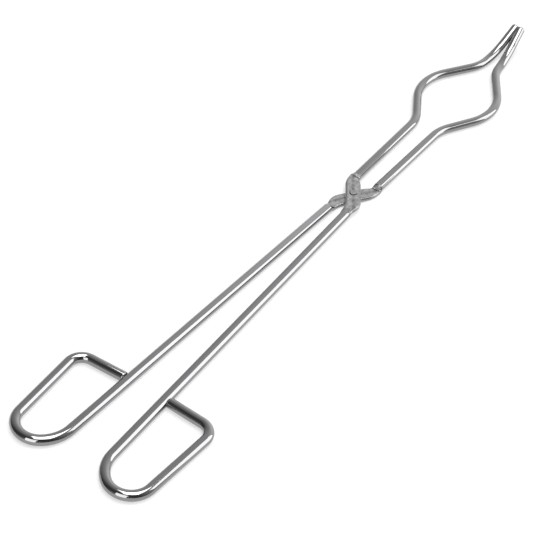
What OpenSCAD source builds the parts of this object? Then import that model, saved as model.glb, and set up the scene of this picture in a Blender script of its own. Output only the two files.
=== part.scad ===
// Crucible tongs: two bent round rods, pressed flat where they cross and held
// together by one peened rivet.  The tongs lie flat, closed, with the jaws towards
// +X and the upturned tips pointing up.  The origin is on the pivot axis, at the
// level of the surface that the rods rest on.

/* [Rod] */
// Diameter of the rod that both arms are bent from
rod_d = 6; // [5:0.5:7]

/* [Jaws] */
// Distance at the pivot from the middle plane to the line of the jaw's rod
jaw_offset = 7.8; // [7:0.1:9]
// Outward lean of the straight rod between the pivot and the bow, in degrees
jaw_lean = 0.56; // [0:0.02:1]
// Straight rod between the pivot's bend and the bow
jaw_straight = 72.7; // [60:0.1:80]
// Angle of the outward bend where the bow begins
bow_out_angle = 26.8; // [25:0.1:28]
// Radius of that bend, at the middle of the rod
bow_out_r = 34.6; // [28:0.1:40]
// Straight side of the bow after the outward bend
bow_side = 18.7; // [15:0.1:22]
// Angle of the wide bend at the middle of the bow
bow_turn_angle = 57; // [55:0.1:58]
// Radius of the wide bend
bow_turn_r = 40.6; // [36:0.1:44]
// Straight side of the bow that runs in towards the tips
bow_return = 21.5; // [18:0.1:24]
// Angle of the bend that brings the two tips alongside each other
tip_turn_angle = 23.8; // [22:0.1:25]
// Radius of that bend
tip_turn_r = 32; // [26:0.1:36]
// Angle through which each tip bends upwards
tip_rise_angle = 28; // [22:0.5:34]
// Radius of the upward bend
tip_rise_r = 50; // [40:0.1:60]
// Straight end of each tip after the upward bend
tip_straight = 16.5; // [12:0.5:20]
// Gap between the two gripping faces when the tongs are closed
tip_gap = 0.3; // [0.2:0.05:0.6]

/* [Handles] */
// Distance at the pivot from the middle plane to the line of the handle's rod
handle_offset = 5.2; // [5:0.1:6]
// Outward lean of the long straight handle, in degrees
handle_lean = 1.81; // [1.5:0.01:3]
// Long straight rod between the pivot's bend and the finger loop
handle_straight = 248.4; // [180:0.1:300]
// Angle of the first, wide part of the turn at the end of the loop
loop_wide_angle = 50; // [40:0.1:55]
// Radius of the wide part
loop_wide_r = 20.3; // [18:0.1:24]
// Angle of the second, tighter part of the turn
loop_tight_angle = 124.6; // [120:0.1:135]
// Radius of the tighter part
loop_tight_r = 12.9; // [11:0.1:15]
// Outer straight side of the loop
loop_side = 43.2; // [38:0.1:60]
// Angle of the corner between the outer side and the crossbar
loop_corner_angle = 91.2; // [85:0.1:95]
// Radius of the corner
loop_corner_r = 8.6; // [7:0.1:12]
// Chamfer round each end of the rod: the crossbar's, which is welded to the handle, and the tip's
end_chamfer = 0.8; // [0.3:0.1:1.2]

/* [Pivot] */
// Angle between each pressed flat and the middle plane, in degrees
flat_angle = 31; // [30:0.5:33]
// Radius of the bends that lead from a flat into its rods
flat_bend_r = 12; // [10:0.5:13]
// Width of each pressed flat at its middle
flat_w = 9.7; // [8.5:0.1:10.5]
// Half-length of each flat along X, from the pivot to the shoulder
flat_reach = 15.5; // [15:0.1:17]
// How far the outer face of a flat lies below the rod's surface, and a rivet's head stands out
flat_sink = 0.3; // [0.25:0.05:0.5]
// Gap between the two mating faces
mating_gap = 0.1; // [0.06:0.02:0.2]
// Diameter of the rivet's shank
rivet_d = 4; // [3.5:0.1:4.2]
// Diameter of the rivet's peened heads
head_d = 5.2; // [5:0.1:6]
// Radial clearance between the rivet and the upper arm
running_gap = 0.05; // [0.03:0.01:0.08]

/* [Hidden] */
$fn = 96;

// Planes that a bend can lie in, as a turn about the rod's own axis
LEVEL = 0;
UPRIGHT = 90;

rod_r = rod_d / 2;
rivet_r = rivet_d / 2;
head_r = head_d / 2;
// Depth of the cone under each head.  The crowns are level with the rods' surfaces.
head_step = head_r - rivet_r;
head_edge = 0.5;
// The lower arm's hole is this much smaller in radius than the rivet, which stays in it
press_grip = 0.01;

// Every joint between a straight and a bend has a faint ring this long and this proud
ring_h = 0.3;
ring_proud = 0.01;

// Thickness of a flat, and the height of the upper arm's outer face
flat_t = rod_r - flat_sink - mating_gap / 2;
upper_face = rod_d - flat_sink;

// The flat keeps its full width over this share of its half-length, then narrows to
// the rod.  It runs on a little past the shoulders, into the rods.
full_width_share = 0.5;
shoulder_half_w = rod_r + 0.25;
flat_half_length = flat_reach + 2.4;
outline_steps = 14;

// Where the gripping faces are cut, and a length longer than any part of the tongs
grip_from_x = 180;
beyond = 100;

// How deep the crossbar's end sits in the handle's side, as a weld would
weld_depth = 0.4;

// A place on a level path is [x, y, heading].  These move it along a straight and
// round a bend to the left.
function ahead(place, length) =
    [place.x + length * cos(place.z), place.y + length * sin(place.z), place.z];
function turned(place, angle, radius) = [
    place.x + radius * (sin(place.z + angle) - sin(place.z)),
    place.y - radius * (cos(place.z + angle) - cos(place.z)),
    place.z + angle
];

// Straight rod from the pivot to the start of its bend, for a rod whose line has an
// offset and a lean from the middle plane
function pivot_run(offset, lean) =
    offset * cos(lean) / sin(flat_angle - lean)
    - flat_bend_r * tan((flat_angle - lean) / 2);
jaw_run = pivot_run(jaw_offset, jaw_lean);
handle_run = pivot_run(handle_offset, handle_lean);

// The crossbar starts here, seen from the end of a handle that runs along +X
loop_turned = turned(
    turned([0, 0, 0], loop_wide_angle, loop_wide_r), loop_tight_angle, loop_tight_r
);
crossbar_start = turned(ahead(loop_turned, loop_side), loop_corner_angle, loop_corner_r);
crossbar_length = (crossbar_start.y - rod_r + weld_depth) / abs(sin(crossbar_start.z));

// Each step of a rod is [straight, angle, radius, plane of the bend]
jaw_steps = [
    [jaw_run, jaw_lean - flat_angle, flat_bend_r, LEVEL],
    [jaw_straight, bow_out_angle, bow_out_r, LEVEL],
    [bow_side, -bow_turn_angle, bow_turn_r, LEVEL],
    [bow_return, tip_turn_angle, tip_turn_r, LEVEL],
    [0, tip_rise_angle, tip_rise_r, UPRIGHT],
    [tip_straight, 0, 0, LEVEL]
];
handle_steps = [
    [handle_run, handle_lean - flat_angle, flat_bend_r, LEVEL],
    [handle_straight, loop_wide_angle, loop_wide_r, LEVEL],
    [0, loop_tight_angle, loop_tight_r, LEVEL],
    [loop_side, loop_corner_angle, loop_corner_r, LEVEL],
    [crossbar_length, 0, 0, LEVEL]
];

// A rod that starts at the origin, runs along +X and follows the steps from step i.
// A positive angle turns it to the left, or upwards in the UPRIGHT plane.
module rod(steps, i = 0) {
    if (i < len(steps)) {
        length = steps[i][0];
        angle = steps[i][1];
        radius = steps[i][2];
        plane = steps[i][3];
        if (i > 0) joint_ring();
        if (length > 0 && angle != 0) rotate([0, 90, 0]) cylinder(h = length, r = rod_r);
        if (length > 0 && angle == 0) rotate([0, 90, 0]) chamfered_end(length);
        if (angle != 0) translate([length, 0, 0]) {
            if (length > 0) joint_ring();
            rotate([plane, 0, 0]) {
                bend(angle, radius);
                past_bend(angle, radius) rotate([-plane, 0, 0]) rod(steps, i + 1);
            }
        }
    }
}

// The last straight of a rod, along +Z, with a chamfer round its end
module chamfered_end(length) {
    edge = rod_r - end_chamfer;
    rotate_extrude()
        polygon([[0, 0], [rod_r, 0], [rod_r, length - end_chamfer], [edge, length], [0, length]]);
}

module joint_ring() {
    rotate([0, 90, 0]) cylinder(h = ring_h, r = rod_r + ring_proud, center = true);
}

module bend(angle, radius) {
    translate([0, sign(angle) * radius, 0])
        rotate([0, 0, angle > 0 ? -90 : 90 + angle])
            rotate_extrude(angle = abs(angle)) translate([radius, 0]) circle(r = rod_r);
}

module past_bend(angle, radius) {
    translate([0, sign(angle) * radius, 0])
        rotate([0, 0, angle])
            translate([0, -sign(angle) * radius, 0]) children();
}

// Half the width of a flat at a distance from the pivot
function flat_half_w(distance) =
    let (t = (distance / flat_half_length - full_width_share) / (1 - full_width_share))
    shoulder_half_w + (flat_w / 2 - shoulder_half_w) * (1 + cos(180 * max(0, t))) / 2;

// The place on a flat's middle line at a distance from the pivot: straight over the
// run, round the bend, then straight again
function flat_place(distance, run, lean) =
    let (
        bend = flat_angle - lean,
        arc = max(0, distance - run) / flat_bend_r * 180 / PI,
        start = ahead([0, 0, flat_angle], min(distance, run)),
        past = turned(start, -min(bend, arc), -flat_bend_r)
    )
    ahead(past, max(0, arc - bend) * flat_bend_r * PI / 180);

// A point on one side of a flat's outline.  The distance is positive towards the jaw
// and negative towards the handle, where the middle line is turned half round.
function flat_point(distance, side) =
    let (
        toward = distance < 0 ? -1 : 1,
        place = distance < 0
            ? flat_place(-distance, handle_run, handle_lean)
            : flat_place(distance, jaw_run, jaw_lean),
        spread = side * flat_half_w(abs(distance))
    )
    [toward * place.x - spread * sin(place.z), toward * place.y + spread * cos(place.z)];

module flat_outline() {
    distances = [for (i = [-outline_steps : outline_steps]) i * flat_half_length / outline_steps];
    polygon(concat(
        [for (distance = distances) flat_point(distance, 1)],
        [for (distance = distances) flat_point(-distance, -1)]
    ));
}

// The round rod of one arm, with the jaw on the +Y side, at its height
module bent_rod() {
    translate([0, 0, rod_r]) rotate([0, 0, flat_angle]) {
        rod(jaw_steps);
        rotate([0, 0, 180]) rod(handle_steps);
    }
}

// One arm with its jaw on the +Y side.  Its flat lies between the heights given.
module arm(flat_bottom, hole_r) {
    difference() {
        union() {
            bent_rod();
            translate([0, 0, flat_bottom]) linear_extrude(flat_t) flat_outline();
        }
        for (level = [flat_bottom + flat_t, flat_bottom - beyond])
            translate([-flat_reach, -beyond / 2, level]) cube([2 * flat_reach, beyond, beyond]);
        translate([grip_from_x, tip_gap / 2 - beyond, -beyond / 2]) cube([beyond, beyond, beyond]);
        cylinder(h = beyond, r = hole_r, center = true);
    }
}

// Space for the cone under one peened head, opening upwards through the flat's face
module countersink(clearance) {
    depth = head_step + flat_sink;
    narrow = rivet_r + clearance;
    cylinder(h = depth, r1 = narrow, r2 = narrow + depth);
}

module upper_arm() {
    color("gainsboro") difference() {
        arm(rod_r + mating_gap / 2, rivet_r + running_gap);
        translate([0, 0, upper_face - head_step]) countersink(running_gap);
    }
}

module lower_arm() {
    color("silver") mirror([0, 1, 0]) difference() {
        arm(flat_sink, rivet_r - press_grip);
        translate([0, 0, flat_sink + head_step]) mirror([0, 0, 1]) countersink(0);
    }
}

// One revolved rivet: a cone and a low, chamfered crown at each end of the shank
module pivot_rivet() {
    crown_r = head_r - head_edge;
    color("gray") rotate_extrude() polygon([
        [0, 0],
        [crown_r, 0],
        [head_r, flat_sink],
        [rivet_r, flat_sink + head_step],
        [rivet_r, upper_face - head_step],
        [head_r, upper_face],
        [crown_r, rod_d],
        [0, rod_d]
    ]);
}

lower_arm();
upper_arm();
pivot_rivet();
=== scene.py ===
"""Crucible tongs of bent and polished steel rod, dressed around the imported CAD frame.

Everything is in metres, in the frame of the CAD model: +X runs from the pivot to the
tips, +Z is up, and the origin lies on the pivot's axis at the level of the floor.
"""

import math
from collections import namedtuple

import bmesh
import bpy
from bpy.props import FloatProperty, FloatVectorProperty, PointerProperty
from mathutils import Matrix, Vector


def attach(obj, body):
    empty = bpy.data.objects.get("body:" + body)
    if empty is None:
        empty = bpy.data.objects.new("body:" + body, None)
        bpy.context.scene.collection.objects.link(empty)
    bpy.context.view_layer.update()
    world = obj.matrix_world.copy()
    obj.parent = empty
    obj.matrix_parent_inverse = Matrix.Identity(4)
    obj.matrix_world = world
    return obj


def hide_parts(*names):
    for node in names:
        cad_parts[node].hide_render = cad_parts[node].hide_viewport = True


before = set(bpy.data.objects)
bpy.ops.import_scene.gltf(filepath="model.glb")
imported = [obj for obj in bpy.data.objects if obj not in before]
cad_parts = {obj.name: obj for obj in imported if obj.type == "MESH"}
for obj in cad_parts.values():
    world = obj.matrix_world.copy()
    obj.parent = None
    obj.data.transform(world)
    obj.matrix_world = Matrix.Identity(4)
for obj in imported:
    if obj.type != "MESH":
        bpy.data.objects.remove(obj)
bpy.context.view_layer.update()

bl_info = {
    "name": "Crucible Tongs",
    "version": (1, 0, 0),
    "blender": (4, 5, 0),
    "location": "View3D > Sidebar > Tongs",
    "description": "Builds crucible tongs of polished steel rod, with a pressed and riveted pivot",
    "category": "Object",
}

MM = 0.001
UP = Vector((0, 0, 1))

# Sides of a rod's ring, the most rod in one step of a bend, a flat and a ramp, and the
# least in any step
ROD_SIDES = 64
BEND_STEP = 1.1 * MM
FLAT_STEP = 0.8 * MM
RAMP_STEP = 0.4 * MM
SHORTEST_STEP = 0.01 * MM

# Points closer than these are merged, or belong to a sliver of no area
MERGE_DISTANCE = 5e-7
SLIVER_DISTANCE = 1e-7

# Each step of a rod is a straight length and then a bend: its angle in degrees, positive
# to the left or upwards, its radius, and the plane that it lies in
LEVEL = "level"
UPRIGHT = "upright"
JAW_STEPS = [
    (72.7, 26.8, 34.6, LEVEL),
    (18.7, -57.0, 40.6, LEVEL),
    (21.5, 23.8, 32.0, LEVEL),
    (0.0, 28.0, 50.0, UPRIGHT),
]
TIP_STRAIGHT = 16.5
HANDLE_STEPS = [
    (248.4, 50.0, 20.3, LEVEL),
    (0.0, 124.6, 12.9, LEVEL),
    (43.2, 91.2, 8.6, LEVEL),
]

# The pivot's flats, in degrees from the middle plane and in millimetres.  A flat keeps
# its width over a share of its reach, then narrows, and runs on past its shoulders.
FLAT_ANGLE = 31.0
FLAT_BEND_R = 12.0
FLAT_REACH = 15.5
FLAT_RUN_ON = 2.4
FLAT_WIDEST_SHARE = 0.5
SHOULDER_SPREAD = 0.25

# Each side of an arm: the way it goes from the pivot, its line's distance in millimetres
# and its lean in degrees from the middle plane, the length over which it rises from the
# flat to the full rod, the depth of the crease at its shoulder, and its steps
ArmSide = namedtuple("ArmSide", "toward offset lean ramp crease_depth steps")
JAW_SIDE = ArmSide(1, 7.8, 0.56, 2.4 * MM, 0.3 * MM, JAW_STEPS)
HANDLE_SIDE = ArmSide(-1, 5.2, 1.81, 5.0 * MM, 0.0, HANDLE_STEPS)

# What lies within this depth of a flat's faces sinks with the crease
CREASE_REACH = 0.2 * MM

# How deep the crossbar's end sits in the handle, and where the tips begin, in millimetres
WELD_DEPTH = 0.4
GRIP_FROM_X = 190.0

# Steps round the edge of a rod's end
END_STEPS = 6

# Edges that turn by more than this many degrees are sharp, and faces whose normals have
# at least this Z are level
SHARP_ANGLE = 32.0
LEVEL_FACE = 0.99

# The groove round each head of the rivet
GROOVE_RADIUS = 2.5 * MM
GROOVE_DEPTH = 0.6 * MM
GROOVE_SIDES = 32

# The rivet's crown: a share of its radius is nearly flat, its edge drops, and its neck
# spreads a little on the way down, to below the groove's floor
CROWN_FLAT_SHARE = 0.75
CROWN_DROP = 0.04 * MM
EDGE_DROP = 0.1 * MM
NECK_SPREAD = 0.05 * MM
NECK_BELOW_GROOVE = 0.2 * MM

# The rivet was peened a little to one side
HEAD_SHIFT = 0.3 * MM
HEAD_SHIFT_AZIMUTH = 10.0


def rod_settings():
    return bpy.context.scene.tongs_rod


def steel_settings():
    return bpy.context.scene.tongs_steel


def stage_settings():
    return bpy.context.scene.tongs_stage


# ---------------------------------------------------------------- shapes


def of_kind(geometry, kind):
    return [part for part in geometry if isinstance(part, kind)]


def unique(parts):
    """The parts without repeats, in an order that is the same each run."""
    return list(dict.fromkeys(parts))


def with_borders(faces):
    """Faces with their edges and corners."""
    edges = unique(edge for face in faces for edge in face.edges)
    verts = unique(vert for face in faces for vert in face.verts)
    return faces + edges + verts


def level_heading(degrees):
    angle = math.radians(degrees)
    return Vector((math.cos(angle), math.sin(angle), 0))


class Sweep:
    """A rod drawn behind a ring of edges that moves along straights and bends."""

    def __init__(self, bm, ring, at, heading):
        self.bm = bm
        self.ring = ring
        self.at = at.copy()
        self.heading = heading.copy()
        self.up = UP.copy()
        self.run = 0.0
        self.stations = []

    def verts(self):
        return unique(vert for edge in self.ring for vert in edge.verts)

    def mark(self):
        """Keeps the ring's place, for the shapes that are pressed afterwards."""
        self.stations.append((self.run, self.at.copy(), self.heading.copy(), self.verts()))

    def straight(self, length, step=None):
        count = max(1, math.ceil(length / step)) if step else 1
        for _ in range(count):
            grown = bmesh.ops.extrude_edge_only(self.bm, edges=self.ring)["geom"]
            move = self.heading * (length / count)
            bmesh.ops.translate(self.bm, verts=of_kind(grown, bmesh.types.BMVert), vec=move)
            self.ring = [e for e in of_kind(grown, bmesh.types.BMEdge) if e.is_boundary]
            self.at += move
            self.run += length / count
            if step:
                self.mark()

    def bend(self, degrees, radius, plane=LEVEL, step=BEND_STEP, marked=False):
        toward = self.up if plane == UPRIGHT else self.up.cross(self.heading)
        toward = toward * math.copysign(1, degrees)
        axis = self.heading.cross(toward)
        centre = self.at + toward * radius
        arc = math.radians(abs(degrees))
        count = max(1, math.ceil(arc * radius / step))
        for _ in range(count):
            turn = Matrix.Rotation(arc / count, 3, axis)
            grown = bmesh.ops.spin(
                self.bm,
                geom=self.verts() + self.ring,
                cent=centre,
                axis=axis,
                angle=arc / count,
                steps=1,
            )["geom_last"]
            self.ring = [e for e in of_kind(grown, bmesh.types.BMEdge) if e.is_boundary]
            self.at = centre + turn @ (self.at - centre)
            self.heading = turn @ self.heading
            self.up = turn @ self.up
            self.run += arc / count * radius
            if marked:
                self.mark()

    def square(self):
        """Turns a ring that was slid into another plane square to the rod again."""
        for vert in self.verts():
            vert.co -= self.heading * (vert.co - self.at).dot(self.heading)

    def close(self, rounding):
        """Ends the rod with a rounded edge and a flat face."""
        radius = rod_settings().rod_diameter / 2
        start = self.at.copy()
        width = 1.0
        for step in range(1, END_STEPS + 1):
            angle = math.pi / 2 * step / END_STEPS
            end = start + self.heading * rounding * math.sin(angle)
            self.straight((end - self.at).length)
            narrowed = 1 - rounding / radius * (1 - math.cos(angle))
            for vert in self.verts():
                vert.co = self.at + (vert.co - self.at) * (narrowed / width)
            width = narrowed
        bmesh.ops.edgeloop_fill(self.bm, edges=self.ring)


def pivot_run(side):
    """Straight rod from the pivot to the start of its bend, in metres."""
    turn = math.radians(FLAT_ANGLE - side.lean)
    crossing = side.offset * math.cos(math.radians(side.lean)) / math.sin(turn)
    return (crossing - FLAT_BEND_R * math.tan(turn / 2)) * MM


def flat_half_width(distance):
    """Half the width of a pressed flat at a distance from the pivot along its rod."""
    rod = rod_settings()
    reach = (FLAT_REACH + FLAT_RUN_ON) * MM
    share = max(0.0, (distance / reach - FLAT_WIDEST_SHARE) / (1 - FLAT_WIDEST_SHARE))
    narrow = rod.rod_diameter / 2 + SHOULDER_SPREAD * MM
    return narrow + (rod.flat_width / 2 - narrow) * (1 + math.cos(math.pi * share)) / 2


def rounded_point(turn, half_w, half_t, edge):
    """A point of a rounded rectangle, for a turn from 0 to 1 that starts at its side."""
    quarter = (turn % 1.0) * 4
    side = half_t - edge
    top = half_w - edge
    corner = math.pi / 2 * edge
    fold = quarter % 2
    length = (fold if fold <= 1 else 2 - fold) * (side + corner + top)
    if length < side:
        x, y = half_w, length
    elif length < side + corner:
        angle = (length - side) / edge
        x, y = top + edge * math.cos(angle), side + edge * math.sin(angle)
    else:
        x, y = top - (length - side - corner), half_t
    if 1 < quarter < 3:
        x = -x
    if quarter > 2:
        y = -y
    return x, y


def pressed_place(vert, distance, at, heading, middle_z):
    """Where a point of a round ring goes when the rod is pressed into a flat."""
    rod = rod_settings()
    across = UP.cross(heading)
    out = vert.co - at
    turn = math.atan2(out.z, out.dot(across)) / math.tau
    half_w = flat_half_width(distance)
    x, z = rounded_point(turn, half_w, rod.flat_thickness / 2, rod.flat_edge)
    place = vert.co + across * (x - out.dot(across))
    place.z = middle_z + z
    return place


def press(stations, middle_z):
    """Presses the marked rings of a rod into a flat with rounded edges."""
    for distance, at, heading, verts in stations:
        for vert in verts:
            vert.co = pressed_place(vert, distance, at, heading, middle_z)


def ease(stations, middle_z, ramp):
    """Leads the marked rings past a shoulder from the flat's shape to the round rod's."""
    start = stations[0][0]
    for distance, at, heading, verts in stations:
        share = min(1.0, (distance - start) / ramp)
        share = share * share * (3 - 2 * share)
        for vert in verts:
            vert.co = pressed_place(vert, distance, at, heading, middle_z).lerp(vert.co, share)


def crease(station, middle_z, depth):
    """Sinks the outer faces of one pressed ring, where the edge of the tool stood."""
    reach = rod_settings().flat_thickness / 2 - CREASE_REACH
    for vert in station[-1]:
        above = vert.co.z - middle_z
        if abs(above) > reach:
            vert.co.z -= math.copysign(depth, above)


def slide_to(verts, heading, x):
    """Slides a ring along its rod until it lies in the plane at x."""
    for vert in verts:
        vert.co += heading * ((x - vert.co.x) / heading.x)


def sweep_side(bm, ring, middle_z, side):
    """One side of an arm: its share of the pressed flat, the shoulder and the bent rod."""
    at = Vector((0, 0, rod_settings().rod_diameter / 2))
    sweep = Sweep(bm, ring, at, level_heading(FLAT_ANGLE) * side.toward)
    sweep.straight(pivot_run(side), FLAT_STEP)
    # The shoulder lies in the bend, or in the straight rod past it
    turn = FLAT_ANGLE - side.lean
    ahead = FLAT_REACH - abs(sweep.at.x) / MM
    shoulder_sine = math.sin(math.radians(FLAT_ANGLE)) - ahead / FLAT_BEND_R
    turned = min(turn, FLAT_ANGLE - math.degrees(math.asin(shoulder_sine)))
    sweep.bend(-turned, FLAT_BEND_R * MM, step=FLAT_STEP, marked=True)
    used = max(0.0, (FLAT_REACH * MM - abs(sweep.at.x)) / abs(sweep.heading.x))
    if used > SHORTEST_STEP:
        sweep.straight(used, FLAT_STEP)
    slide_to(sweep.verts(), sweep.heading, side.toward * FLAT_REACH * MM)
    flat_count = len(sweep.stations)
    sweep.straight(RAMP_STEP, RAMP_STEP)
    sweep.square()
    used += RAMP_STEP
    if turned < turn:
        sweep.bend(turned - turn, FLAT_BEND_R * MM, step=RAMP_STEP, marked=True)
    left = side.ramp - (sweep.run - sweep.stations[flat_count - 1][0])
    if left > 0:
        sweep.straight(left, RAMP_STEP)
        used += left
    press(sweep.stations[:flat_count], middle_z)
    ease(sweep.stations[flat_count:], middle_z, side.ramp)
    crease(sweep.stations[flat_count - 1], middle_z, side.crease_depth)
    for straight, angle, radius, plane in side.steps:
        if straight:
            sweep.straight(straight * MM - used)
            used = 0.0
        sweep.bend(angle, radius * MM, plane)
    return sweep


def crossbar_length(sweep):
    """From the loop's last corner to the side of the handle's own rod."""
    lean = math.radians(HANDLE_SIDE.lean)
    line = Vector((-math.cos(lean), -math.sin(lean), 0))
    across = UP.cross(line)
    offset = HANDLE_SIDE.offset * MM * math.cos(lean)
    rod_r = rod_settings().rod_diameter / 2
    gap = abs(sweep.at.dot(across) - offset)
    return (gap - rod_r + WELD_DEPTH * MM) / abs(sweep.heading.dot(across))


def make_arm(bm, middle_z):
    """An arm with its jaw on the +Y side and its flat at the height given."""
    rod = rod_settings()
    radius = rod.rod_diameter / 2
    heading = level_heading(FLAT_ANGLE)
    turn = heading.to_track_quat("Z", "Y").to_matrix()
    place = Matrix.Translation((0, 0, radius)) @ turn.to_4x4()
    bmesh.ops.create_circle(bm, segments=ROD_SIDES, radius=radius, matrix=place)
    middle = list(bm.edges)
    middle_verts = list(bm.verts)
    jaw = sweep_side(bm, middle, middle_z, JAW_SIDE)
    handle = sweep_side(bm, middle, middle_z, HANDLE_SIDE)
    press([(0.0, Vector((0, 0, radius)), heading, middle_verts)], middle_z)
    jaw.straight(TIP_STRAIGHT * MM - rod.tip_rounding)
    jaw.close(rod.tip_rounding)
    handle.straight(crossbar_length(handle) - rod.end_rounding)
    handle.close(rod.end_rounding)
    grind_tip(bm)
    sink_groove(bm, math.copysign(1, middle_z - radius))


def grind_tip(bm):
    """Cuts the inner side of the tip flat, along the middle plane."""
    near = [f for f in bm.faces if f.calc_center_median().x > GRIP_FROM_X * MM]
    cut = bmesh.ops.bisect_plane(
        bm,
        geom=with_borders(near),
        dist=MERGE_DISTANCE,
        plane_co=(0, rod_settings().tip_gap / 2, 0),
        plane_no=(0, 1, 0),
        clear_inner=True,
    )
    rim = [e for e in of_kind(cut["geom_cut"], bmesh.types.BMEdge) if e.is_boundary]
    bmesh.ops.edgeloop_fill(bm, edges=rim)


def sink_groove(bm, side):
    """Sinks a round recess for the rivet's head into the outer face of the flat."""
    middle = rod_settings().rod_diameter / 2
    outward = [level_heading(360 * step / GROOVE_SIDES) for step in range(GROOVE_SIDES)]

    def outer_faces():
        bm.normal_update()
        near = [f for f in bm.faces if f.calc_center_median().xy.length < 2 * GROOVE_RADIUS]
        near = [f for f in near if abs(f.normal.z) > LEVEL_FACE]
        return [f for f in near if (f.calc_center_median().z - middle) * side > 0]

    for heading in outward:
        bmesh.ops.bisect_plane(
            bm,
            geom=with_borders(outer_faces()),
            dist=SLIVER_DISTANCE,
            plane_co=heading * GROOVE_RADIUS,
            plane_no=heading,
        )
    inside = []
    for face in outer_faces():
        centre = face.calc_center_median()
        if max(centre.dot(heading) for heading in outward) < GROOVE_RADIUS:
            inside.append(face)
    sunk = bmesh.ops.extrude_face_region(bm, geom=inside)["geom"]
    bmesh.ops.delete(bm, geom=inside, context="FACES")
    drop = UP * (-side * GROOVE_DEPTH)
    bmesh.ops.translate(bm, verts=of_kind(sunk, bmesh.types.BMVert), vec=drop)


def head_shift():
    return level_heading(HEAD_SHIFT_AZIMUTH) * HEAD_SHIFT


def make_rivet(bm):
    """The rivet's outline, from crown to crown, turned once round the pivot's axis."""
    rivet = rod_settings()
    crown = rivet.head_diameter / 2
    neck = crown + NECK_SPREAD
    foot = rivet.flat_sink + GROOVE_DEPTH + NECK_BELOW_GROOVE
    half = [(0.0, 0.0), (CROWN_FLAT_SHARE * crown, CROWN_DROP), (crown, EDGE_DROP), (neck, foot)]
    outline = half + [(x, rivet.rod_diameter - z) for x, z in reversed(half)]
    verts = [bm.verts.new((x, 0, z)) for x, z in outline]
    edges = [bm.edges.new(pair) for pair in zip(verts, verts[1:])]
    bmesh.ops.spin(
        bm,
        geom=verts + edges,
        cent=(0, 0, 0),
        axis=UP,
        angle=math.tau,
        steps=ROD_SIDES,
        use_merge=True,
    )
    bmesh.ops.translate(bm, verts=bm.verts, vec=head_shift())


def finish_mesh(bm, name):
    """Cleans a mesh, points its faces outwards and makes an object of it at the origin."""
    bmesh.ops.remove_doubles(bm, verts=bm.verts, dist=MERGE_DISTANCE)
    bmesh.ops.dissolve_degenerate(bm, edges=bm.edges, dist=SLIVER_DISTANCE)
    bmesh.ops.recalc_face_normals(bm, faces=bm.faces)
    if bm.calc_volume(signed=True) < 0:
        bmesh.ops.reverse_faces(bm, faces=bm.faces)
    open_edges = [e for e in bm.edges if not e.is_manifold]
    if open_edges:
        raise RuntimeError(f"{name} isn't closed along {len(open_edges)} edges")
    for face in bm.faces:
        face.smooth = True
    for edge in bm.edges:
        edge.smooth = edge.calc_face_angle() < math.radians(SHARP_ANGLE)
    mesh = bpy.data.meshes.new(name)
    bm.to_mesh(mesh)
    bm.free()
    piece = bpy.data.objects.new(name, mesh)
    bpy.context.scene.collection.objects.link(piece)
    return piece


# ---------------------------------------------------------------- materials

# Each pair is where a change of finish starts and where it is complete.  The fades are
# measured along X from the shoulders, the streak and the polished edge across a flat from
# its middle line, and the polished edge's ends along X from the pivot.
JAW_FADE = (1.5 * MM, 4.0 * MM)
HANDLE_FADE = (-1.5 * MM, 2.5 * MM)
STREAK_SIDES = (0.3 * MM, 1.5 * MM)
POLISHED_EDGE = (3.2 * MM, 3.9 * MM)
POLISHED_EDGE_ENDS = (10.0 * MM, 13.0 * MM)
EDGE_POLISH = 0.6

# Painted shade: the dark groove round the rivet's head, the crease at the jaw's shoulder and the
# rivet's sides
GROOVE_SOFTNESS = 0.05 * MM
CREASE_X = (FLAT_REACH - 0.4) * MM
CREASE_Y = 6.6 * MM
CREASE_SIDES = (0.35 * MM, 0.8 * MM)
CREASE_ENDS = (2.2 * MM, 2.8 * MM)
RIM_WIDTH = 0.1 * MM

# Patterns, as waves in a metre.  The drawn lines run along X.
DRAWN_LINES = (60, 2200, 2200)
CLOUD_SCALE = 90.0
BLOTCH_SCALE = 420.0
GRAIN_SCALE = 2600.0
RIVET_BLOTCH_SCALE = 700.0
RIVET_GRAIN_SCALE = 3000.0

# The darkest and lightest share of each steel's colour, and the share left where shade is painted
# in the groove, the crease and down the rivet's sides
CLOUD_SHADES = (0.93, 1.05)
MATT_SHADES = (0.48, 1.35)
RIVET_SHADES = (0.8, 1.15)
CREVICE_PAINTED_SHADE = 0.12
RIM_PAINTED_SHADE = 0.1

# The part of the blotches' range that is used, and how much of a flat's tone is its streak
BLOTCH_RANGE = (0.3, 0.7)
STREAK_SHARE = 0.4

# Heights of the drawn lines and the grain beside the blotches, and their depth in metres
DRAWN_HEIGHT = 0.15
GRAIN_HEIGHT = 0.35
RIVET_GRAIN_HEIGHT = 0.4
FLAT_DINTS = 0.02 * MM
RIVET_DINTS = 0.03 * MM


class Number:
    """A node's number output, with Python's operators written as Math nodes."""

    def __init__(self, nodes, socket):
        self.nodes = nodes
        self.socket = socket

    def math(self, operation, *others, **settings):
        settings["operation"] = operation
        node = self.nodes.add("ShaderNodeMath", settings, {0: self} | dict(enumerate(others, 1)))
        return self.nodes.number(node)

    def __add__(self, other):
        return self.math("ADD", other)

    __radd__ = __add__

    def __mul__(self, other):
        return self.math("MULTIPLY", other)

    __rmul__ = __mul__

    def __sub__(self, other):
        return self.math("SUBTRACT", other)

    def __rsub__(self, other):
        return (self * -1.0) + other

    def __abs__(self):
        return self.math("ABSOLUTE")

    def clamped(self):
        return self.math("ADD", 0.0, use_clamp=True)

    def above(self, low, high):
        """0 below low and 1 above high, with a smooth rise between them."""
        settings = {"interpolation_type": "SMOOTHSTEP"}
        node = self.nodes.add(
            "ShaderNodeMapRange", settings, {"Value": self, "From Min": low, "From Max": high}
        )
        return self.nodes.number(node)


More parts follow.
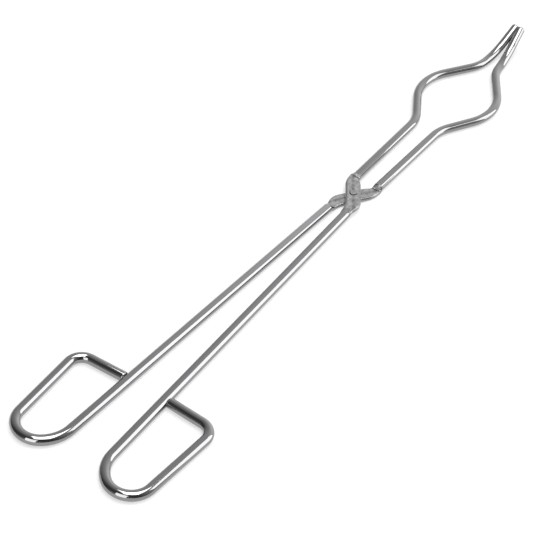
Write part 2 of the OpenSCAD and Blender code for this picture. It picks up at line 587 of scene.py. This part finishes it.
class Nodes:
    """Makes the nodes of one material or world."""

    def __init__(self, tree):
        self.tree = tree
        tree.nodes.clear()

    def add(self, kind, settings=None, inputs=None):
        node = self.tree.nodes.new(kind)
        for name, value in (settings or {}).items():
            if name == "stops":
                self.set_stops(node, value)
            else:
                setattr(node, name, value)
        for key, value in (inputs or {}).items():
            self.join(node.inputs[key], value)
        return node

    def set_stops(self, node, stops):
        ramp = node.color_ramp.elements
        while len(ramp) < len(stops):
            ramp.new(1.0)
        for element, (place, grey) in zip(ramp, stops):
            element.position = place
            element.color = (grey, grey, grey, 1.0)

    def join(self, socket, value):
        if isinstance(value, Number):
            value = value.socket
        if isinstance(value, bpy.types.Node):
            value = value.outputs[0]
        if isinstance(value, bpy.types.NodeSocket):
            self.tree.links.new(value, socket)
        else:
            socket.default_value = value

    def number(self, node, output=0):
        return Number(self, node.outputs[output])

    def axes(self, vector):
        split = self.add("ShaderNodeSeparateXYZ", None, {0: vector})
        return [self.number(split, axis) for axis in range(3)]

    def noise(self, vector, scale, detail=3.0, roughness=0.5):
        node = self.add(
            "ShaderNodeTexNoise",
            None,
            {"Vector": vector, "Scale": scale, "Detail": detail, "Roughness": roughness},
        )
        return self.number(node)

    def stretched(self, vector, scale):
        return self.add("ShaderNodeMapping", None, {"Vector": vector, "Scale": scale})

    def blend(self, factor, low, high):
        """A colour between two others."""
        node = self.add("ShaderNodeMix", {"data_type": "RGBA"}, {0: factor, 6: low, 7: high})
        return node.outputs[2]


def colour(rgb):
    return (*rgb, 1.0)


def shade(rgb, share):
    return (*[channel * share for channel in rgb], 1.0)


def shades(rgb, shares):
    return [shade(rgb, share) for share in shares]


def new_material(name):
    material = bpy.data.materials.new(name)
    material.use_nodes = True
    return material, Nodes(material.node_tree)


def finish_material(nodes, base, roughness, height, bump_distance):
    bump = nodes.add(
        "ShaderNodeBump", None, {"Strength": 1.0, "Distance": bump_distance, "Height": height}
    )
    inputs = {"Base Color": base, "Metallic": 1.0, "Roughness": roughness, "Normal": bump}
    surface = nodes.add("ShaderNodeBsdfPrincipled", None, inputs)
    nodes.add("ShaderNodeOutputMaterial", None, {"Surface": surface})


def varied(middle, *noises):
    """A number that strays from its middle value by a spread times each noise."""
    total = middle - sum(spread for _, spread in noises) / 2
    for noise, spread in noises:
        total = noise * spread + total
    return total


def from_axis(x, y):
    """The distance from the Z axis."""
    return (x * x + y * y).math("SQRT")


def pressed_zone(x):
    """1 over the pressed flats and 0 on the round rods, with a soft change between them."""
    reach = FLAT_REACH * MM
    before_jaw = 1 - x.above(reach + JAW_FADE[0], reach + JAW_FADE[1])
    before_handle = 1 - (x * -1.0).above(reach + HANDLE_FADE[0], reach + HANDLE_FADE[1])
    return before_jaw * before_handle


def painted_crevice_shade(x, y):
    """1 where shade is painted: in the groove round the rivet's head and in the crease at the
    jaw's shoulder.
    """
    groove_edge = (GROOVE_RADIUS - GROOVE_SOFTNESS, GROOVE_RADIUS + GROOVE_SOFTNESS)
    groove = 1 - from_axis(x, y).above(*groove_edge)
    crease_x = 1 - abs(x - CREASE_X).above(*CREASE_SIDES)
    crease_y = 1 - abs(abs(y) - CREASE_Y).above(*CREASE_ENDS)
    return (groove + crease_x * crease_y).clamped()


def polished_rod(name, side):
    """Bright drawn rod, turning to matt grey where the pivot's flat is pressed."""
    steel = steel_settings()
    material, nodes = new_material(name)
    place = nodes.add("ShaderNodeTexCoord").outputs["Object"]
    x, y, _ = nodes.axes(place)
    lean = math.radians(FLAT_ANGLE)
    across = abs(y * math.cos(lean) - x * (side * math.sin(lean)))
    beside_streak = across.above(*STREAK_SIDES)
    edge = across.above(*POLISHED_EDGE) * (1 - abs(x).above(*POLISHED_EDGE_ENDS))
    pressed = pressed_zone(x)
    matt_zone = pressed * (1 - edge * EDGE_POLISH)

    drawn = nodes.noise(nodes.stretched(place, DRAWN_LINES), 1.0, detail=2.0)
    cloud = nodes.noise(place, CLOUD_SCALE)
    blotch = nodes.noise(place, BLOTCH_SCALE, detail=4.0, roughness=0.6)
    grain = nodes.noise(place, GRAIN_SCALE, detail=2.0)

    bright = nodes.blend(cloud, *shades(steel.polished, CLOUD_SHADES))
    tone = blotch.above(*BLOTCH_RANGE) * (1 - STREAK_SHARE) + beside_streak * STREAK_SHARE
    matt = nodes.blend(tone, *shades(steel.pressed, MATT_SHADES))
    steel_tone = nodes.blend(matt_zone, bright, matt)
    # Painted shade: the groove round the rivet's head and the crease at the jaw's shoulder are
    # darkened in the colour
    base = nodes.blend(painted_crevice_shade(x, y), steel_tone, shade(steel.pressed, CREVICE_PAINTED_SHADE))
    smooth = varied(steel.polished_roughness, (drawn, 0.04), (cloud, 0.03))
    dull = varied(steel.pressed_roughness, (blotch, 0.12))
    roughness = smooth + matt_zone * (dull - smooth)
    height = drawn * (1 - pressed) * DRAWN_HEIGHT + pressed * (blotch + grain * GRAIN_HEIGHT)
    finish_material(nodes, base, roughness, height, FLAT_DINTS)
    return material


def rivet_steel():
    """Dull peened steel, with painted shade down its sides."""
    steel = steel_settings()
    material, nodes = new_material("rivet_steel")
    place = nodes.add("ShaderNodeTexCoord").outputs["Object"]
    x, y, _ = nodes.axes(place)
    shift = head_shift()
    crown = rod_settings().head_diameter / 2
    # Painted shade: from the edge of the crown down, the rivet's sides are darkened in the colour
    rim = from_axis(x - shift.x, y - shift.y).above(crown - RIM_WIDTH, crown)
    blotch = nodes.noise(place, RIVET_BLOTCH_SCALE, detail=4.0, roughness=0.6)
    grain = nodes.noise(place, RIVET_GRAIN_SCALE, detail=2.0)
    face = nodes.blend(blotch.above(*BLOTCH_RANGE), *shades(steel.rivet, RIVET_SHADES))
    base = nodes.blend(rim, face, shade(steel.rivet, RIM_PAINTED_SHADE))
    roughness = varied(steel.pressed_roughness, (blotch, 0.15))
    finish_material(nodes, base, roughness, blotch + grain * RIVET_GRAIN_HEIGHT, RIVET_DINTS)
    return material


# ---------------------------------------------------------------- stage

# The camera's place in metres, and in degrees the azimuth and elevation that it looks
# from and its roll.  Azimuth 0 is +X and 90 is +Y.
CAMERA_PLACE = (-0.6814, -0.3114, 0.5919)
CAMERA_AZIMUTH = 208.1599
CAMERA_ELEVATION = 41.2821
CAMERA_ROLL = 7.9212
CAMERA_LENS = 103.26
SENSOR_WIDTH = 36.0

# Each softbox: its azimuth and elevation, its half-angles across and up in degrees, and
# its brightness.
SOFTBOXES = [
    ("overhead_softbox", -60.0, 85.0, 23.0, 16.0, 5.0),
    ("side_softbox", -46.5, 26.0, 15.0, 24.0, 2.2),
    ("window_softbox", -173.0, 23.0, 17.0, 25.0, 2.2),
]
SOFTBOX_DISTANCE = 12.0
FLOOR_SIDES = 96

# The room is brightest low down ahead of the tips: its tone for each share of the way
# round from the wall behind the handles
WALL_RISE = math.radians(10.0)
ROOM_TONES = [
    (0.0, 0.25),
    (0.1, 0.12),
    (0.25, 0.05),
    (0.38, 0.06),
    (0.5, 0.14),
    (0.62, 0.24),
    (0.75, 0.32),
    (0.85, 0.41),
    (0.925, 0.57),
    (0.975, 0.75),
    (1.0, 0.85),
]


def turn_inward(azimuth, elevation):
    """The turn of a lamp or a camera that looks inward from an azimuth and an elevation."""
    level = level_heading(azimuth)
    rise = math.radians(elevation)
    outward = level * math.cos(rise) + UP * math.sin(rise)
    side = UP.cross(level)
    return Matrix((side, outward.cross(side), outward)).transposed()


def make_camera():
    data = bpy.data.cameras.new("camera")
    data.lens = CAMERA_LENS
    data.sensor_width = SENSOR_WIDTH
    camera = bpy.data.objects.new("camera", data)
    roll = Matrix.Rotation(math.radians(CAMERA_ROLL), 3, "Z")
    turn = turn_inward(CAMERA_AZIMUTH, CAMERA_ELEVATION) @ roll
    camera.matrix_world = Matrix.Translation(CAMERA_PLACE) @ turn.to_4x4()
    bpy.context.scene.collection.objects.link(camera)
    bpy.context.scene.camera = camera


def make_softbox(name, azimuth, elevation, across, upward, brightness):
    data = bpy.data.lights.new(name, "AREA")
    data.shape = "RECTANGLE"
    data.size = 2 * SOFTBOX_DISTANCE * math.tan(math.radians(across))
    data.size_y = 2 * SOFTBOX_DISTANCE * math.tan(math.radians(upward))
    data.energy = brightness * stage_settings().light_strength * math.pi * data.size * data.size_y
    softbox = bpy.data.objects.new(name, data)
    turn = turn_inward(azimuth, elevation)
    softbox.matrix_world = Matrix.Translation(turn.col[2] * SOFTBOX_DISTANCE) @ turn.to_4x4()
    softbox.visible_camera = False
    bpy.context.scene.collection.objects.link(softbox)


def make_world():
    world = bpy.data.worlds.new("studio")
    world.use_nodes = True
    bpy.context.scene.world = world
    nodes = Nodes(world.node_tree)
    direction = nodes.add("ShaderNodeTexCoord").outputs["Generated"]
    bright_wall = level_heading(0.0) * math.cos(WALL_RISE) + UP * math.sin(WALL_RISE)
    vectors = {0: direction, 1: bright_wall}
    facing = nodes.add("ShaderNodeVectorMath", {"operation": "DOT_PRODUCT"}, vectors)
    share = nodes.number(facing, "Value") * 0.5 + 0.5
    ramp = nodes.add("ShaderNodeValToRGB", {"stops": ROOM_TONES}, {"Fac": share})
    strength = stage_settings().room_strength
    back = nodes.add("ShaderNodeBackground", None, {"Color": ramp, "Strength": strength})
    nodes.add("ShaderNodeOutputWorld", None, {"Surface": back})


def make_floor():
    stage = stage_settings()
    bm = bmesh.new()
    bmesh.ops.create_circle(bm, cap_ends=True, segments=FLOOR_SIDES, radius=stage.floor_radius)
    mesh = bpy.data.meshes.new("floor")
    bm.to_mesh(mesh)
    bm.free()
    floor = bpy.data.objects.new("floor", mesh)
    bpy.context.scene.collection.objects.link(floor)
    material, nodes = new_material("floor_paper")
    inputs = {
        "Base Color": colour(stage.floor_colour),
        "Roughness": 0.9,
        "Specular IOR Level": 0.1,
        "Emission Color": (1.0, 1.0, 1.0, 1.0),
        "Emission Strength": stage.floor_glow,
    }
    surface = nodes.add("ShaderNodeBsdfPrincipled", None, inputs)
    nodes.add("ShaderNodeOutputMaterial", None, {"Surface": surface})
    mesh.materials.append(material)
    return floor


# ---------------------------------------------------------------- settings and operators


class TongsRodSettings(bpy.types.PropertyGroup):
    """Sizes of the rods, the pressed flats and the rivet"""

    rod_diameter: FloatProperty(
        name="Rod diameter",
        description="Diameter of the rod that both arms are bent from",
        default=6 * MM,
        min=5 * MM,
        max=7 * MM,
        unit="LENGTH",
    )
    flat_width: FloatProperty(
        name="Flat width",
        description="Width of each pressed flat at the pivot",
        default=9.7 * MM,
        min=8.5 * MM,
        max=10.5 * MM,
        unit="LENGTH",
    )
    flat_thickness: FloatProperty(
        name="Flat thickness",
        description="Thickness of each pressed flat",
        default=2.65 * MM,
        min=2 * MM,
        max=2.8 * MM,
        unit="LENGTH",
    )
    flat_edge: FloatProperty(
        name="Flat edge radius",
        description="Rounding along the edges of a pressed flat",
        default=1.0 * MM,
        min=0.2 * MM,
        max=1.2 * MM,
        unit="LENGTH",
    )
    flat_sink: FloatProperty(
        name="Flat sink",
        description="How far a flat's outer face lies below the top of its rod",
        default=0.3 * MM,
        min=0.1 * MM,
        max=0.5 * MM,
        unit="LENGTH",
    )
    tip_gap: FloatProperty(
        name="Tip gap",
        description="Gap between the two gripping faces when the tongs are closed",
        default=0.3 * MM,
        min=0.2 * MM,
        max=0.6 * MM,
        unit="LENGTH",
    )
    tip_rounding: FloatProperty(
        name="Tip rounding",
        description="Rounding round the end of each tip",
        default=1.6 * MM,
        min=0.2 * MM,
        max=2.4 * MM,
        unit="LENGTH",
    )
    end_rounding: FloatProperty(
        name="Crossbar rounding",
        description="Rounding round the end of each crossbar",
        default=0.8 * MM,
        min=0.1 * MM,
        max=1.2 * MM,
        unit="LENGTH",
    )
    head_diameter: FloatProperty(
        name="Rivet head diameter",
        description="Diameter of the rivet's peened crowns, inside their grooves",
        default=4.4 * MM,
        min=4.1 * MM,
        max=4.8 * MM,
        unit="LENGTH",
    )


class TongsSteelSettings(bpy.types.PropertyGroup):
    """Colours and gloss of the steel"""

    polished: FloatVectorProperty(
        name="Polished steel",
        description="Colour of the polished rod",
        default=(0.265, 0.265, 0.271),
        min=0.0,
        max=1.0,
        subtype="COLOR",
    )
    pressed: FloatVectorProperty(
        name="Pressed steel",
        description="Colour of the flats where the rod is pressed",
        default=(0.27, 0.27, 0.275),
        min=0.0,
        max=1.0,
        subtype="COLOR",
    )
    rivet: FloatVectorProperty(
        name="Rivet steel",
        description="Colour of the rivet",
        default=(0.27, 0.27, 0.275),
        min=0.0,
        max=1.0,
        subtype="COLOR",
    )
    polished_roughness: FloatProperty(
        name="Polished roughness",
        description="Roughness of the polished rod",
        default=0.07,
        min=0.04,
        max=0.4,
        subtype="FACTOR",
    )
    pressed_roughness: FloatProperty(
        name="Pressed roughness",
        description="Roughness of the pressed flats and the rivet",
        default=0.45,
        min=0.2,
        max=0.8,
        subtype="FACTOR",
    )


class TongsStageSettings(bpy.types.PropertyGroup):
    """The floor and the light"""

    floor_colour: FloatVectorProperty(
        name="Floor colour",
        description="Colour of the paper under the tongs",
        default=(0.32, 0.32, 0.32),
        min=0.0,
        max=1.0,
        subtype="COLOR",
    )
    floor_glow: FloatProperty(
        name="Floor glow",
        description="Light that comes through the paper from below, which softens the shadows",
        default=0.58,
        min=0.0,
        max=2.0,
    )
    floor_radius: FloatProperty(
        name="Floor radius",
        description="Radius of the round floor",
        default=6.0,
        min=1.0,
        max=20.0,
        unit="LENGTH",
    )
    light_strength: FloatProperty(
        name="Softbox strength",
        description="Brightness of the softboxes",
        default=1.36,
        min=0.0,
        max=5.0,
    )
    room_strength: FloatProperty(
        name="Room strength",
        description="Brightness of the room around the stage",
        default=1.75,
        min=0.0,
        max=5.0,
    )


class OBJECT_OT_tongs_arms(bpy.types.Operator):
    """Bends the two arms from rod, with pressed flats, finger loops and ground tips"""

    bl_idname = "object.tongs_arms"
    bl_label = "Build both arms"

    def execute(self, context):
        rod = rod_settings()
        middle = rod.rod_diameter / 2
        lift = middle - rod.flat_sink - rod.flat_thickness / 2
        for name, side in (("upper_arm", 1), ("lower_arm", -1)):
            bm = bmesh.new()
            make_arm(bm, middle + side * lift)
            if side < 0:
                bmesh.ops.scale(bm, vec=(1, -1, 1), verts=bm.verts)
            piece = finish_mesh(bm, name + "_rod")
            piece.data.materials.append(polished_rod(name + "_steel", side))
            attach(piece, name)
            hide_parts(name)
        return {"FINISHED"}


class OBJECT_OT_tongs_rivet(bpy.types.Operator):
    """Turns the peened rivet that joins the arms"""

    bl_idname = "object.tongs_rivet"
    bl_label = "Build the rivet"

    def execute(self, context):
        bm = bmesh.new()
        make_rivet(bm)
        piece = finish_mesh(bm, "peened_rivet")
        piece.data.materials.append(rivet_steel())
        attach(piece, "lower_arm")
        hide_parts("pivot_rivet")
        return {"FINISHED"}


class SCENE_OT_tongs_stage(bpy.types.Operator):
    """Lays the pale floor and sets the soft light and the camera"""

    bl_idname = "scene.tongs_stage"
    bl_label = "Set the stage"

    def execute(self, context):
        make_floor()
        make_world()
        for softbox in SOFTBOXES:
            make_softbox(*softbox)
        make_camera()
        context.scene.view_settings.view_transform = "Standard"
        return {"FINISHED"}


class VIEW3D_PT_tongs(bpy.types.Panel):
    """Lists the tongs' settings and operators"""

    bl_label = "Crucible tongs"
    bl_space_type = "VIEW_3D"
    bl_region_type = "UI"
    bl_category = "Tongs"

    def draw(self, context):
        scene = context.scene
        for group in (scene.tongs_rod, scene.tongs_steel, scene.tongs_stage):
            box = self.layout.box()
            for name in type(group).__annotations__:
                box.prop(group, name)
        for operator in OPERATORS:
            self.layout.operator(operator.bl_idname)


OPERATORS = (OBJECT_OT_tongs_arms, OBJECT_OT_tongs_rivet, SCENE_OT_tongs_stage)
SETTINGS = {
    "tongs_rod": TongsRodSettings,
    "tongs_steel": TongsSteelSettings,
    "tongs_stage": TongsStageSettings,
}
CLASSES = (*SETTINGS.values(), *OPERATORS, VIEW3D_PT_tongs)


def register():
    for cls in CLASSES:
        bpy.utils.register_class(cls)
    for name, cls in SETTINGS.items():
        setattr(bpy.types.Scene, name, PointerProperty(type=cls))


def unregister():
    for name in SETTINGS:
        delattr(bpy.types.Scene, name)
    for cls in reversed(CLASSES):
        bpy.utils.unregister_class(cls)


def main():
    register()
    bpy.ops.object.tongs_arms()
    bpy.ops.object.tongs_rivet()
    bpy.ops.scene.tongs_stage()


if __name__ == "__main__":
    main()
